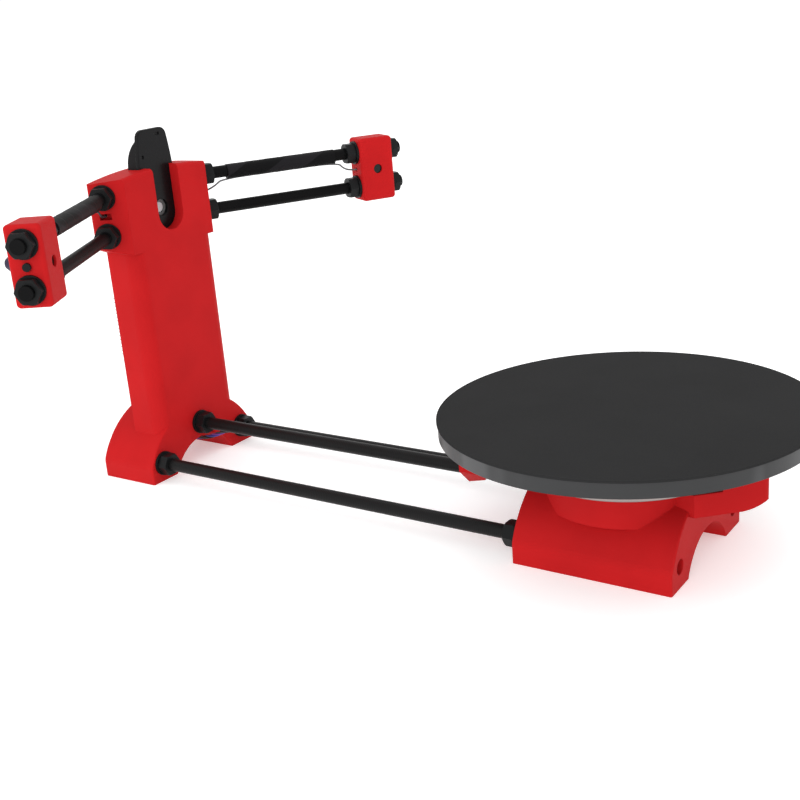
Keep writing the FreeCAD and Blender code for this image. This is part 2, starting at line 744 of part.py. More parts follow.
def webcam():
    bezel = webcam_block(bezel_back, webcam_front, 0)
    bezel = rounded(bezel, bezel_thickness / 3, lambda b: at(b.XMin, webcam_front))
    recess_radius = lens_recess_diameter / 2
    glass_radius = lens_glass_diameter / 2
    ring_front = webcam_front - lens_ring_recess
    ring_back = ring_front - lens_ring_thickness
    dent_back = webcam_front - dent_depth
    notch_z = webcam_top - notch_drop
    bezel = bezel.cut([bar_x(bezel_back - 1, webcam_front + 1, 0, lens_height, recess_radius),
                       box(dent_back, webcam_front + 1, notch_offset, notch_offset + notch_width,
                           notch_z - notch_height, notch_z),
                       bar_x(dent_back, webcam_front + 1, -microphone_offset,
                             webcam_top - microphone_drop, microphone_radius)])
    parts["webcam_bezel"] = bezel
    ring = bar_x(ring_back, ring_front, 0, lens_height, recess_radius - pin_play)
    ring = ring.cut(bar_x(ring_back - 1, ring_front + 1, 0, lens_height, glass_radius + pin_play))
    parts["webcam_lens_ring"] = ring
    glass = bar_x(ring_back, ring_back + lens_glass_thickness, 0, lens_height, glass_radius)
    glass_front = ring_back + lens_glass_thickness
    parts["webcam_lens"] = rounded(glass, lens_glass_thickness / 2, lambda b: at(b.XMin, glass_front))

    shell = under_crown(webcam_block(shell_back, bezel_back, 0), 0)
    inner_back = shell_back + shell_wall
    hollow = under_crown(webcam_block(inner_back, bezel_back + 1, shell_wall), shell_wall)
    board_front = bezel_back - sensor_board_depth
    sensor_back = board_front - sensor_board_thickness
    post = bar_x(shell_back + shell_wall / 2, sensor_back - seat_gap, 0, webcam_screw_height,
                 screw_radius * 2)
    shell = joined(shell.cut(hollow), post)
    screw_end = sensor_back - seat_gap - 1
    parts["webcam_shell"] = shell.cut([
        bar_x(shell_back - 1, screw_end + 1, 0, webcam_screw_height, screw_radius + pin_play),
        bar_x(shell_back - 1, inner_back + 1, 0, gland_height, gland_diameter / 2 + pin_play)])
    inset = shell_wall + seat_gap
    half = webcam_end_half_width - inset
    sensor_board = box(sensor_back, board_front, -half, half, webcam_bottom + inset,
                       webcam_top - shell_crown_drop)
    sensor_board = rounded(sensor_board, webcam_corner_radius - inset,
                           lambda b: at(b.XLength, sensor_board_thickness))
    lens_barrel = bar_x(board_front, ring_back, 0, lens_height, lens_barrel_diameter / 2)
    parts["webcam_sensor_board"] = joined(sensor_board, lens_barrel)
    screw = bar_x(head_back, screw_end, 0, webcam_screw_height, screw_radius)
    head = bar_x(head_back - screw_head_height, head_back, 0, webcam_screw_height, screw_head_diameter / 2)
    parts["webcam_screw"] = joined(screw, head)
    gland_end = inner_back - gland_length
    parts["webcam_cable_gland"] = bar_x(gland_end, inner_back, 0, gland_height, gland_diameter / 2)


def bearing():
    middle = (bearing_bottom + bearing_top) / 2
    circle = (bearing_bore_radius + bearing_outer_radius) / 2
    groove = Part.makeTorus(circle, ball_radius + ball_play, vector(0, 0, middle), vector(0, 0, 1))

    def race(inner, outer):
        ring = bar_z(bearing_bottom, bearing_top, outer)
        ring = ring.cut(bar_z(bearing_bottom - 1, bearing_top + 1, inner))
        ring = rounded(ring, race_edge_rounding, lambda b: b.ZLength < 0.01)
        return ring.cut(groove)

    parts["bearing_inner_race"] = race(bearing_bore_radius, bearing_bore_radius + race_thickness)
    parts["bearing_outer_race"] = race(bearing_outer_radius - race_thickness, bearing_outer_radius)
    cage = bar_z(middle - cage_height / 2, middle + cage_height / 2, circle + cage_thickness / 2)
    cage = cage.cut(bar_z(bearing_bottom, bearing_top, circle - cage_thickness / 2))
    balls = []
    windows = []
    for index in range(ball_count):
        angle = 2 * math.pi * index / ball_count
        centre = vector(circle * math.cos(angle), circle * math.sin(angle), middle)
        balls.append(Part.makeSphere(ball_radius, centre))
        outward = vector(math.cos(angle), math.sin(angle), 0) * cage_thickness
        windows.append(bar(centre - outward, centre + outward, ball_radius + ball_play))
    parts["bearing_balls"] = Part.makeCompound(balls)
    parts["bearing_cage"] = cage.cut(windows)


def screw_circle(radius, count):
    for index in range(count):
        angle = math.radians(45 + 360 * index / count)
        yield radius * math.cos(angle), radius * math.sin(angle)


def turntable():
    rest_inner = bearing_outer_radius - race_thickness
    fit_radius = bearing_outer_radius + pin_play
    lip_radius = fit_radius + carrier_lip_wall
    hub_bottom = carrier_bottom - hub_drop
    hub_top = disc_top - disc_top_skin
    plate = bar_z(carrier_bottom, disc_bottom, lip_radius)
    rest = bar_z(bearing_top, carrier_bottom, lip_radius)
    rest = rest.cut(bar_z(bearing_top - 1, carrier_bottom, rest_inner))
    lip = bar_z(bearing_top - carrier_lip_drop, bearing_top, lip_radius)
    lip = lip.cut(bar_z(bearing_bottom, bearing_top, fit_radius))
    hub = bar_z(hub_bottom, hub_top, hub_radius)
    carrier = joined(plate, rest, lip, hub)
    carrier = carrier.cut(bar_z(hub_bottom - 1, hub_top + 1, shaft_diameter / 2 + pin_play))
    disc = bar_z(disc_bottom, disc_top, disc_radius)
    disc = disc.cut(bar_z(disc_bottom - 1, disc_top + 1, hub_radius + rod_hole_play))
    screws = []
    head_top_z = carrier_bottom + screw_head_height
    screw_top = disc_top - disc_top_skin * 4
    for x, y in screw_circle(carrier_screw_circle, 4):
        head_well = bar_z(carrier_bottom - 1, head_top_z, screw_head_diameter / 2 + seat_gap, x, y)
        hole = bar_z(carrier_bottom, disc_bottom + 1, screw_radius + pin_play, x, y)
        carrier = carrier.cut([head_well, hole])
        disc = disc.cut(bar_z(disc_bottom - 1, screw_top + 1, screw_radius + pin_play, x, y))
        head = bar_z(carrier_bottom, head_top_z, screw_head_diameter / 2, x, y)
        screws.append(joined(head, bar_z(head_top_z, screw_top, screw_radius, x, y)))
    parts["disc_carrier"] = carrier
    parts["turntable_disc"] = disc
    parts["non_slip_mat"] = bar_z(disc_top, disc_top + mat_thickness, mat_radius)
    parts["carrier_screws"] = Part.makeCompound(screws)


def motor_screw_places():
    half = motor_screw_spacing / 2
    return [(x, y) for x in (-half, half) for y in (-half, half)]


def motor_block(z_from, z_to, inset):
    half = motor_side / 2 - inset
    block = box(-half, half, -half, half, z_from, z_to)
    return block.makeChamfer(motor_corner, edges_where(block, lambda b: at(b.ZLength, z_to - z_from)))


def motor():
    low_cap_top = motor_bottom + motor_cap_height
    high_cap_bottom = motor_top - motor_cap_height
    bore = bar_z(motor_bottom - 1, motor_top + pilot_height + 1, shaft_diameter / 2 + pin_play)
    low_cap = motor_block(motor_bottom, low_cap_top, 0)
    high_cap = joined(motor_block(high_cap_bottom, motor_top, 0),
                      bar_z(motor_top, motor_top + pilot_height, pilot_diameter / 2))
    screws = []
    head_top_z = motor_roof_top + screw_head_height
    for x, y in motor_screw_places():
        bite = motor_top - motor_screw_bite
        high_cap = high_cap.cut(bar_z(bite - 1, motor_top + 1, screw_radius + pin_play, x, y))
        head = bar_z(motor_roof_top, head_top_z, screw_head_diameter / 2, x, y)
        screws.append(joined(head, bar_z(bite, motor_roof_top, screw_radius, x, y)))
    parts["motor_end_caps"] = Part.makeCompound([low_cap.cut(bore), high_cap.cut(bore)])
    parts["motor_stator"] = motor_block(low_cap_top, high_cap_bottom, motor_waist).cut(bore)
    parts["motor_shaft"] = bar_z(motor_bottom + motor_play, motor_top + shaft_length, shaft_diameter / 2)
    parts["motor_screws"] = Part.makeCompound(screws)
    face = -motor_side / 2
    half = motor_socket_width / 2
    parts["motor_socket"] = box(face - motor_socket_depth, face, -half, half, motor_bottom + pilot_height,
                                motor_bottom + motor_socket_height)


# The motor's lead: out through the arch, behind the middle rod, up a groove in the tower's foot.
def motor_lead():
    start_x = -motor_side / 2 - motor_socket_depth / 2
    plug_x = board_back - motor_plug_depth / 2
    rise_x = foot_back + 0.5 + motor_lead_diameter / 2
    points = [vector(start_x, 0, motor_bottom + pilot_height), vector(start_x, 0, 10.6),
              vector(-37, 3.6, 7.4), vector(-52, 8.4, 10.0), vector(-69, 12.6, 16.4),
              vector(-90, 13.4, 22.0), vector(-113, 9.8, 24.8), vector(-143, 6.9, 25.4),
              vector(-183, 6.5, 24.9), vector(-222, 6.9, 24.3), vector(-256, 6.5, 24.5),
              vector(-281, 6.9, 23.7), vector(-296, 7.9, 21.0), vector(-307, 9.6, 16.2),
              vector(-319, 11.4, 11.2), vector(-337, 13.6, 8.2), vector(rise_x - 0.2, 15.6, 7.6),
              vector(rise_x, lead_groove_y + 0.6, 25), vector(rise_x, lead_groove_y + 1.6, 42.5),
              vector(plug_x, motor_plug_offset, 51), vector(plug_x, motor_plug_offset, board_bottom)]
    parts["motor_lead"] = cord("motor lead", points, motor_lead_diameter)


def control_board():
    half = board_width / 2
    board = box(board_back, board_face, -half, half, board_bottom, board_top)
    screws = []
    for y, z in board_holes():
        board = board.cut(bar_x(board_back - 1, board_face + 1, y, z, screw_radius + pin_play))
        head = bar_x(board_back - screw_head_height, board_back, y, z, screw_head_diameter / 2)
        screws.append(joined(head, bar_x(board_back, column_back + standoff_height - 1, y, z, screw_radius)))
    parts["control_board"] = board
    parts["board_screws"] = Part.makeCompound(screws)

    usb_bottom = board_bottom - usb_overhang
    usb = box(board_back - usb_height, board_back, -usb_offset - usb_width / 2, -usb_offset + usb_width / 2,
              usb_bottom, usb_bottom + usb_length)
    mouth_half = usb_width / 2 - usb_wall
    usb = usb.cut(box(board_back - usb_height + usb_wall, board_back - usb_wall, -usb_offset - mouth_half,
                      -usb_offset + mouth_half, usb_bottom - 1, usb_bottom + usb_length / 2))
    parts["usb_socket"] = usb
    jack_bottom = board_bottom - jack_overhang
    jack_half = jack_width / 2
    jack = box(board_back - usb_height, board_back, jack_offset - jack_half, jack_offset + jack_half,
               jack_bottom, jack_bottom + jack_length)
    jack_x = board_back - usb_height / 2
    well_top = jack_bottom + jack_length - usb_wall
    well = bar_z(jack_bottom - 1, well_top, jack_bore / 2, jack_x, jack_offset)
    well = well.cut(bar_z(jack_bottom + usb_wall, well_top, jack_pin_radius, jack_x, jack_offset))
    parts["power_socket"] = jack.cut(well)


# The motor's driver stands on two socket strips and carries a finned heat sink.
def motor_driver():
    low = board_bottom + driver_rise
    high = low + driver_length
    header_end = board_back - driver_header_height
    module_back = header_end - board_thickness
    half = driver_width / 2
    strips = []
    for sign in (-1, 1):
        outer = driver_offset + sign * half
        strips.append(box(header_end, board_back, outer - sign * header_width, outer, low, high))
    parts["socket_strips"] = Part.makeCompound(strips)
    parts["driver_module"] = box(module_back, header_end, driver_offset - half, driver_offset + half, low,
                                 high)
    sink_half = heat_sink_side / 2
    sink_middle = (low + high) / 2
    sink = box(module_back - heat_sink_height, module_back, driver_offset - sink_half,
               driver_offset + sink_half, sink_middle - sink_half, sink_middle + sink_half)
    pitch = heat_sink_side / (2 * heat_sink_fins - 1)
    for index in range(heat_sink_fins - 1):
        y = driver_offset - sink_half + pitch * (2 * index + 1)
        groove_front = module_back - heat_sink_height * 0.3
        sink = sink.cut(box(module_back - heat_sink_height - 1, groove_front, y, y + pitch,
                            sink_middle - sink_half - 1, sink_middle + sink_half + 1))
    parts["driver_heat_sink"] = sink


def lead_plugs():
    plug_half = motor_plug_width / 2
    plugs = [box(board_back - motor_plug_depth, board_back, motor_plug_offset - plug_half,
                 motor_plug_offset + plug_half, board_bottom, board_bottom + motor_plug_height)]
    laser_half = laser_plug_width / 2
    for side in sides.values():
        y = side * laser_plug_offset
        plugs.append(box(board_back - laser_plug_height, board_back, y - laser_half, y + laser_half,
                         board_top - laser_plug_height, board_top))
    parts["lead_plugs"] = Part.makeCompound(plugs)


def reset_switch():
    z = board_bottom + button_rise
    y = -button_offset
    half = button_side / 2
    body_back = board_back - button_height
    housing = box(body_back, board_back, y - half, y + half, z - half, z + half)
    well = bar_x(body_back - 1, body_back + button_travel + 1, y, z, button_cap_radius + pin_play)
    parts["reset_button_housing"] = housing.cut(well)
    parts["reset_button"] = bar_x(body_back - button_cap_stand, body_back + 1 - pin_play, y, z,
                                  button_cap_radius)


parts["camera_tower"] = camera_tower()
parts["motor_holder"] = motor_holder()
base_rods()
arms()
webcam()
bearing()
turntable()
motor()
motor_lead()
control_board()
motor_driver()
lead_plugs()
reset_switch()

os.makedirs("parts", exist_ok=True)
for name, shape in parts.items():
    shape.translate(to_origin)
    shape.exportStep("parts/" + name + ".step")
    print(name, "solids", len(shape.Solids), "valid", shape.isValid())
print("turntable axis at x", round(to_origin.x, 3), "arm angle", round(math.degrees(arm_angle), 5), "parts",
      len(parts))
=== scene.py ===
import json
import math

import bmesh
import bpy
from mathutils import Matrix, Vector


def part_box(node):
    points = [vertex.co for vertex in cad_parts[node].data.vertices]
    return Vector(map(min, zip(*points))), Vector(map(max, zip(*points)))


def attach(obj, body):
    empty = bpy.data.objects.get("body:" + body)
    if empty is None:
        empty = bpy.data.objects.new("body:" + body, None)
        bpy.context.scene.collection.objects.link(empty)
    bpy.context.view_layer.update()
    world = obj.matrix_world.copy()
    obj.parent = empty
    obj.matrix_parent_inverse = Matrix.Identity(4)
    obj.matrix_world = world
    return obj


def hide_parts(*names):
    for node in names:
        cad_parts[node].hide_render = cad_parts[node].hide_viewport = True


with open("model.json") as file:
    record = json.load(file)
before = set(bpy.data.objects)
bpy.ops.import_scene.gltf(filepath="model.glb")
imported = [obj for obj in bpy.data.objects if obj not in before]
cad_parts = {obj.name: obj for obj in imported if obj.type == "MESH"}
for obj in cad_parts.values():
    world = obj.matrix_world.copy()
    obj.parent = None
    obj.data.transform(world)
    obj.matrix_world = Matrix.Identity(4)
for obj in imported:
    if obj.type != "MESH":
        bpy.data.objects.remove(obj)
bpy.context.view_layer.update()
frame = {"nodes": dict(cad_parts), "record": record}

nodes = frame["nodes"]
scene = bpy.context.scene
turntableX = sum(corner.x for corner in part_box("turntable_disc")) / 2


# Places are given in millimetres from the turntable's axis and the floor, as in the model's source
def spot(x, y, z):
    return Vector((turntableX + x / 1000, y / 1000, z / 1000))


sides = {"left": 1, "right": -1}

# Arm places: reach along the rods, forward along the beam; side is 1 for the scanner's left
armValues = {"wingX": -324.6, "wingY": 43.9, "angle": math.radians(30.42007)}


def armDirection(side, reach, forward):
    sine = math.sin(armValues["angle"])
    cosine = math.cos(armValues["angle"])
    return Vector((reach * sine + forward * cosine, side * (reach * cosine - forward * sine), 0))


def armSpot(side, reach, forward, height):
    step = armDirection(side, reach, forward)
    return spot(armValues["wingX"] + step.x, side * armValues["wingY"] + step.y, height)


# Camera, fitted to the photograph: place in metres from the turntable's axis, angles in degrees
cameraValues = {"azimuth": 35.405, "elevation": 18.704, "roll": -4.803,
                "place": (0.2520, -0.5581, 0.2959), "focalPixels": 1214.48, "imagePixels": 800}


def makeCamera(values):
    azimuth = math.radians(values["azimuth"])
    elevation = math.radians(values["elevation"])
    roll = math.radians(values["roll"])
    back = Vector((math.sin(azimuth) * math.cos(elevation), -math.cos(azimuth) * math.cos(elevation),
                   math.sin(elevation)))
    level = Vector((math.cos(azimuth), math.sin(azimuth), 0))
    rise = back.cross(level)
    right = math.cos(roll) * level + math.sin(roll) * rise
    upward = math.cos(roll) * rise - math.sin(roll) * level
    data = bpy.data.cameras.new("photoCamera")
    data.sensor_width = 36.0
    data.lens = data.sensor_width * values["focalPixels"] / values["imagePixels"]
    data.clip_start = 0.01
    camera = bpy.data.objects.new("photoCamera", data)
    scene.collection.objects.link(camera)
    turn = Matrix((right, upward, back)).transposed().to_4x4()
    camera.matrix_world = Matrix.Translation(Vector(values["place"]) + Vector((turntableX, 0, 0))) @ turn
    scene.camera = camera


makeCamera(cameraValues)
print("camera placed")


# A shader socket that adds Math nodes when it is used in an expression
class Value:
    def __init__(self, tree, socket):
        self.tree = tree
        self.socket = socket

    def math(self, operation, *others):
        return makeNode(self.tree, "ShaderNodeMath", {"operation": operation}, [self, *others])

    def __add__(self, other):
        return self.math("ADD", other)

    def __radd__(self, other):
        return self.math("ADD", other)

    def __sub__(self, other):
        return self.math("SUBTRACT", other)

    def __rsub__(self, other):
        return makeNode(self.tree, "ShaderNodeMath", {"operation": "SUBTRACT"}, [other, self])

    def __mul__(self, other):
        return self.math("MULTIPLY", other)

    def __rmul__(self, other):
        return self.math("MULTIPLY", other)

    def __truediv__(self, other):
        return self.math("DIVIDE", other)

    def smooth(self, low, high):
        return makeNode(self.tree, "ShaderNodeMapRange", {"interpolation_type": "SMOOTHSTEP"},
                        {"Value": self, "From Min": low, "From Max": high})


def plug(tree, socket, value):
    if isinstance(value, Value):
        tree.links.new(value.socket, socket)
    elif socket.type == "RGBA" and len(value) == 3:
        socket.default_value = (*value, 1.0)
    else:
        socket.default_value = value


def makeNode(tree, kind, settings=None, inputs=(), output=0):
    node = tree.nodes.new(kind)
    for name, value in (settings or {}).items():
        setattr(node, name, value)
    pairs = inputs.items() if isinstance(inputs, dict) else enumerate(inputs)
    for key, value in pairs:
        plug(tree, node.inputs[key], value)
    return Value(tree, node.outputs[output])


def tone(color, factor):
    return tuple(min(1.0, channel * factor) for channel in color)


driftValues = {"scale": 28.0, "detail": 2.0, "range": (0.3, 0.7)}
bevelSamples = 4


# One material: a colour that drifts, an uneven gloss, a fine grain and softened edges
class Finish:
    def __init__(self, name, color, roughness=0.5, specular=0.3, metallic=0.0, drift=0.08, grain=1200.0,
                 depth=0.00002, edge=0.0004, coat=0.0, glossSpread=0.16):
        self.material = bpy.data.materials.new(name)
        self.material.use_nodes = True
        self.tree = self.material.node_tree
        self.shader = self.tree.nodes["Principled BSDF"]
        self.place = self.add("ShaderNodeTexCoord", output="Object")
        self.depth = depth
        self.edge = edge
        self.set("Specular IOR Level", specular)
        self.set("Metallic", metallic)
        self.set("Coat Weight", coat)
        self.grain = self.noise(grain)
        patches = self.noise(driftValues["scale"], driftValues["detail"]).smooth(*driftValues["range"])
        self.shade = self.blend(patches, tone(color, 1 - drift), tone(color, 1 + drift))
        self.set("Base Color", self.shade)
        self.set("Roughness", roughness + (self.grain - 0.5) * glossSpread)
        self.relief(self.grain)

    def set(self, key, value):
        plug(self.tree, self.shader.inputs[key], value)

    def add(self, kind, settings=None, inputs=(), output=0):
        return makeNode(self.tree, kind, settings, inputs, output)

    def stretched(self, factors):
        return self.add("ShaderNodeVectorMath", {"operation": "MULTIPLY"}, [self.place, factors])

    def noise(self, scale, detail=3.0, stretch=(1.0, 1.0, 1.0)):
        return self.add("ShaderNodeTexNoise", {}, {"Vector": self.stretched(stretch), "Scale": scale,
                                                   "Detail": detail})

    def along(self, direction, origin=(0.0, 0.0, 0.0)):
        offset = self.add("ShaderNodeVectorMath", {"operation": "SUBTRACT"}, [self.place, tuple(origin)])
        return self.add("ShaderNodeVectorMath", {"operation": "DOT_PRODUCT"}, [offset, tuple(direction)],
                        output="Value")

    def blend(self, factor, first, second):
        node = self.tree.nodes.new("ShaderNodeMix")
        node.data_type = "RGBA"
        for key, value in ((0, factor), (6, first), (7, second)):
            plug(self.tree, node.inputs[key], value)
        return Value(self.tree, node.outputs[2])

    def tint(self, factor, color):
        self.shade = self.blend(factor, self.shade, color)
        self.set("Base Color", self.shade)

    def relief(self, height, depth=None):
        soft = self.add("ShaderNodeBevel", {"samples": bevelSamples}, {"Radius": self.edge})
        bump = self.add("ShaderNodeBump", {}, {"Height": height, "Distance": depth or self.depth,
                                               "Normal": soft})
        self.set("Normal", bump)


# Ridges every pitch metres along a direction, from 0 to 1
def ridges(finish, direction, pitch):
    return (finish.along(direction) * (2 * math.pi / pitch)).math("SINE") * 0.5 + 0.5


finishValues = {
    "red_plastic": {"color": (0.455, 0.0105, 0.012), "roughness": 0.5, "specular": 0.04, "drift": 0.05,
                    "grain": 700.0, "edge": 0.0007, "layer": 0.0003, "layerDepth": 0.000012},
    "black_rod": {"color": (0.0065, 0.0063, 0.0065), "roughness": 0.42, "specular": 0.13, "thread": 0.00125,
                  "threadDepth": 0.00005},
    "black_nut": {"color": (0.0065, 0.007, 0.0075), "roughness": 0.4, "specular": 0.13, "edge": 0.0003},
    "sleeve": {"color": (0.009, 0.009, 0.0095), "roughness": 0.5, "specular": 0.07},
    "lead": {"color": (0.012, 0.012, 0.012), "roughness": 0.5, "specular": 0.2},
    "laser_barrel": {"color": (0.02, 0.015, 0.036), "roughness": 0.35, "metallic": 0.3, "specular": 0.3},
    "laser_cap": {"color": (0.014, 0.007, 0.032), "roughness": 0.45, "specular": 0.15},
    "laser_lens": {"color": (0.008, 0.012, 0.011), "roughness": 0.1, "specular": 0.2},
    "webcam_front": {"color": (0.0045, 0.0045, 0.005), "roughness": 0.3, "specular": 0.13, "coat": 0.01,
                     "depth": 0.000004, "edge": 0.0006},
    "webcam_back": {"color": (0.006, 0.006, 0.0065), "roughness": 0.45, "specular": 0.12, "edge": 0.0006},
    "lens_ring": {"color": (0.12, 0.12, 0.12), "roughness": 0.3},
    # The camera glass is coloured light grey: a painted reflection standing in for the glint on the lens
    "camera_glass": {"color": (0.46, 0.46, 0.47), "roughness": 0.1, "specular": 0.6},
    "circuit_board": {"color": (0.008, 0.05, 0.13), "roughness": 0.38, "specular": 0.4, "edge": 0.0001},
    "black_socket": {"color": (0.012, 0.012, 0.012), "roughness": 0.5, "edge": 0.0002},
    "white_plug": {"color": (0.68, 0.66, 0.58), "roughness": 0.5, "edge": 0.0002},
    "tin": {"color": (0.55, 0.55, 0.53), "roughness": 0.32, "metallic": 1.0, "edge": 0.0003},
    "screw_steel": {"color": (0.38, 0.38, 0.39), "roughness": 0.32, "metallic": 1.0, "edge": 0.0002},
    "heat_sink": {"color": (0.5, 0.5, 0.52), "roughness": 0.42, "metallic": 1.0, "edge": 0.0001},
    "button_cap": {"color": (0.42, 0.03, 0.025), "roughness": 0.4, "edge": 0.0002},
    "bearing_steel": {"color": (0.29, 0.25, 0.24), "roughness": 0.3, "metallic": 1.0},
    "ball_steel": {"color": (0.75, 0.75, 0.76), "roughness": 0.12, "metallic": 1.0},
    "cage_metal": {"color": (0.55, 0.42, 0.2), "roughness": 0.38, "metallic": 1.0},
    "disc_board": {"color": (0.024, 0.0245, 0.0255), "roughness": 0.34, "specular": 0.3, "edge": 0.0005},
    "mat_rubber": {"color": (0.0205, 0.0205, 0.021), "roughness": 0.85, "specular": 0.08, "drift": 0.03,
                   "grain": 1600.0, "depth": 0.00005, "edge": 0.0005},
    "motor_cap": {"color": (0.5, 0.5, 0.51), "roughness": 0.42, "metallic": 1.0},
    "motor_core": {"color": (0.016, 0.016, 0.016), "roughness": 0.5, "sheet": 0.0005, "sheetDepth": 0.0001},
    "motor_wire": {"color": (0.02, 0.025, 0.16), "roughness": 0.45},
}


# Printed layers and stacked sheets lie level; a rod's thread runs along its own direction.
def makeFinish(slot, name=None, direction=(1.0, 0.0, 0.0), **changes):
    values = {**finishValues[slot], **changes}
    ridgeKeys = ("layer", "layerDepth", "thread", "threadDepth", "sheet", "sheetDepth")
    ridgeValues = {key: values.pop(key, None) for key in ridgeKeys}
    finish = Finish(name or slot, **values)
    upward = (0.0, 0.0, 1.0)
    if ridgeValues["layer"]:
        finish.relief(ridges(finish, upward, ridgeValues["layer"]) + finish.grain, ridgeValues["layerDepth"])
    if ridgeValues["thread"]:
        finish.relief(ridges(finish, direction, ridgeValues["thread"]), ridgeValues["threadDepth"])
    if ridgeValues["sheet"]:
        finish.relief(ridges(finish, upward, ridgeValues["sheet"]), ridgeValues["sheetDepth"])
    return finish


finishes = {slot: makeFinish(slot) for slot in finishValues}
# The arm rods are coloured darker than the base rods of the same black rod: painted shade
armRodShadedValues = {"color": (0.0035, 0.0035, 0.0037), "specular": 0.06}
for sideName, side in sides.items():
    finishes["arm_rod_" + sideName] = makeFinish("black_rod", "armRod_" + sideName,
                                                 armDirection(side, 1, 0).normalized(), **armRodShadedValues)

# Solder mask: tracks of copper shine through
trackValues = {"scale": 420.0, "width": (0.03, 0.07), "color": (0.02, 0.1, 0.24)}
boardFinish = finishes["circuit_board"]
tracks = boardFinish.add("ShaderNodeTexVoronoi", {"feature": "DISTANCE_TO_EDGE"},
                         {"Vector": boardFinish.stretched((0.0, 1.0, 1.0)), "Scale": trackValues["scale"]})
boardFinish.tint(1.0 - tracks.smooth(*trackValues["width"]), trackValues["color"])

# The mat: faint rubbed patches
rubbedValues = {"scale": 9.0, "detail": 4.0, "range": (0.45, 0.75), "strength": 0.4,
                "color": (0.0245, 0.0245, 0.025)}
matFinish = finishes["mat_rubber"]
rubbed = matFinish.noise(rubbedValues["scale"], rubbedValues["detail"]).smooth(*rubbedValues["range"])
matFinish.tint(rubbed * rubbedValues["strength"], rubbedValues["color"])

# The disc's edge: brighter patches, stretched upright, painted in as reflections of the studio lights
# (painted reflection)
rimReflectionValues = {"scale": 26.0, "detail": 2.0, "stretch": (1.0, 1.0, 0.1), "range": (0.5, 0.62),
              "color": (0.055, 0.056, 0.058)}
discFinish = finishes["disc_board"]
rimReflection = discFinish.noise(rimReflectionValues["scale"], rimReflectionValues["detail"], rimReflectionValues["stretch"])
discFinish.tint(rimReflection.smooth(*rimReflectionValues["range"]), rimReflectionValues["color"])

slotOf = {row["node"]: row["material_slot"] for row in frame["record"]["subparts"]}
for name, node in nodes.items():
    key = slotOf[name]
    if name.startswith("arm_rod"):
        key = "arm_rod_" + name.rsplit("_", 1)[1]
    node.data.materials.clear()
    node.data.materials.append(finishes[key].material)
print("finishes on", len(nodes), "nodes")


def addObject(name, data, body="frame", replaced=()):
    made = bpy.data.objects.new(name, data)
    scene.collection.objects.link(made)
    if body:
        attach(made, body)
    if replaced:
        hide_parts(*replaced)
    return made


curveValues = {"steps": 24, "roundness": 5, "order": 3}


# A smooth cord that follows its route's points
def routeCurve(name, points, radius, finish=None):
    curve = bpy.data.curves.new(name, "CURVE")
    curve.dimensions = "3D"
    curve.resolution_u = curveValues["steps"]
    spline = curve.splines.new("NURBS")
    spline.points.add(len(points) - 1)
    for target, point in zip(spline.points, points):
        target.co = (*point, 1.0)
    spline.order_u = curveValues["order"]
    spline.use_endpoint_u = True
    if radius:
        curve.bevel_depth = radius
        curve.bevel_resolution = curveValues["roundness"]
        curve.use_fill_caps = True
        curve.materials.append(finish.material)
    return curve


# The lasers' leads: places in millimetres, the radius in metres. The points are those of the model's source.
leadValues = {"radius": 0.0006, "plugX": -346.6, "plugY": 13.0, "boardTop": 126.6, "middle": 176.0,
              "sleeveHeight": 183.35, "end": 120.45,
              # The left lead is coloured lighter than the right: a painted reflection on the left arm's
              # underside
              "color": {"left": (0.16, 0.16, 0.165), "right": (0.045, 0.045, 0.05)}}


def laserLead(sideName, side, values):
    top = values["boardTop"]
    middle = values["middle"]
    high = values["sleeveHeight"]
    points = [spot(values["plugX"], side * values["plugY"], top),
              spot(values["plugX"], side * values["plugY"], top + 13), spot(-347, side * 15.6, top + 27),
              spot(-346.6, side * 21.4, top + 39), spot(-344.6, side * 28.2, middle - 1.6),
              armSpot(side, -18.2, -2.3, middle), armSpot(side, -9.5, -2.0, middle),
              armSpot(side, 2.6, -1.2, middle + 0.2), armSpot(side, 9.6, 0, high - 4.2),
              armSpot(side, 15.2, 0, high), armSpot(side, 99.8, 0, high),
              armSpot(side, 104.6, -0.5, middle + 1.8), armSpot(side, 111, 0, middle),
              armSpot(side, values["end"], 0, middle)]
    finish = makeFinish("lead", "laserLead_" + sideName, color=values["color"][sideName])
    curve = routeCurve("laserLead_" + sideName, points, values["radius"], finish)
    addObject("laserLead_" + sideName, curve, "frame", ["laser_lead_" + sideName])


for sideName, side in sides.items():
    laserLead(sideName, side, leadValues)
print("laser leads made")

# The motor's lead: four wires twisted round one route, sizes in metres and route in millimetres
wireValues = {"radius": 0.00062, "spread": 0.00082, "twist": 0.026, "sides": 10,
              "colors": {"blue": (0.03, 0.045, 0.34), "violet": (0.16, 0.05, 0.3),
                         "grey": (0.05, 0.05, 0.055), "black": (0.012, 0.012, 0.012)}}
motorRoute = [(-24.05, 0, 18), (-24.05, 0, 10.6), (-37, 3.6, 7.4), (-52, 8.4, 10), (-69, 12.6, 16.4),
              (-90, 13.4, 22), (-113, 9.8, 24.8), (-143, 6.9, 25.4), (-183, 6.5, 24.9), (-222, 6.9, 24.3),
              (-256, 6.5, 24.5), (-281, 6.9, 23.7), (-296, 7.9, 21), (-307, 9.6, 16.2), (-319, 11.4, 11.2),
              (-337, 13.6, 8.2), (-355.1, 15.6, 7.6), (-354.9, 16.6, 25), (-354.9, 17.6, 42.5),
              (-346.6, 20, 51), (-346.6, 20, 58)]


def routePath(name, points):
    carrier = bpy.data.objects.new(name, routeCurve(name, points, 0))
    mesh = bpy.data.meshes.new_from_object(carrier)
    path = [vertex.co.copy() for vertex in mesh.vertices]
    bpy.data.objects.remove(carrier)
    bpy.data.meshes.remove(mesh)
    return path


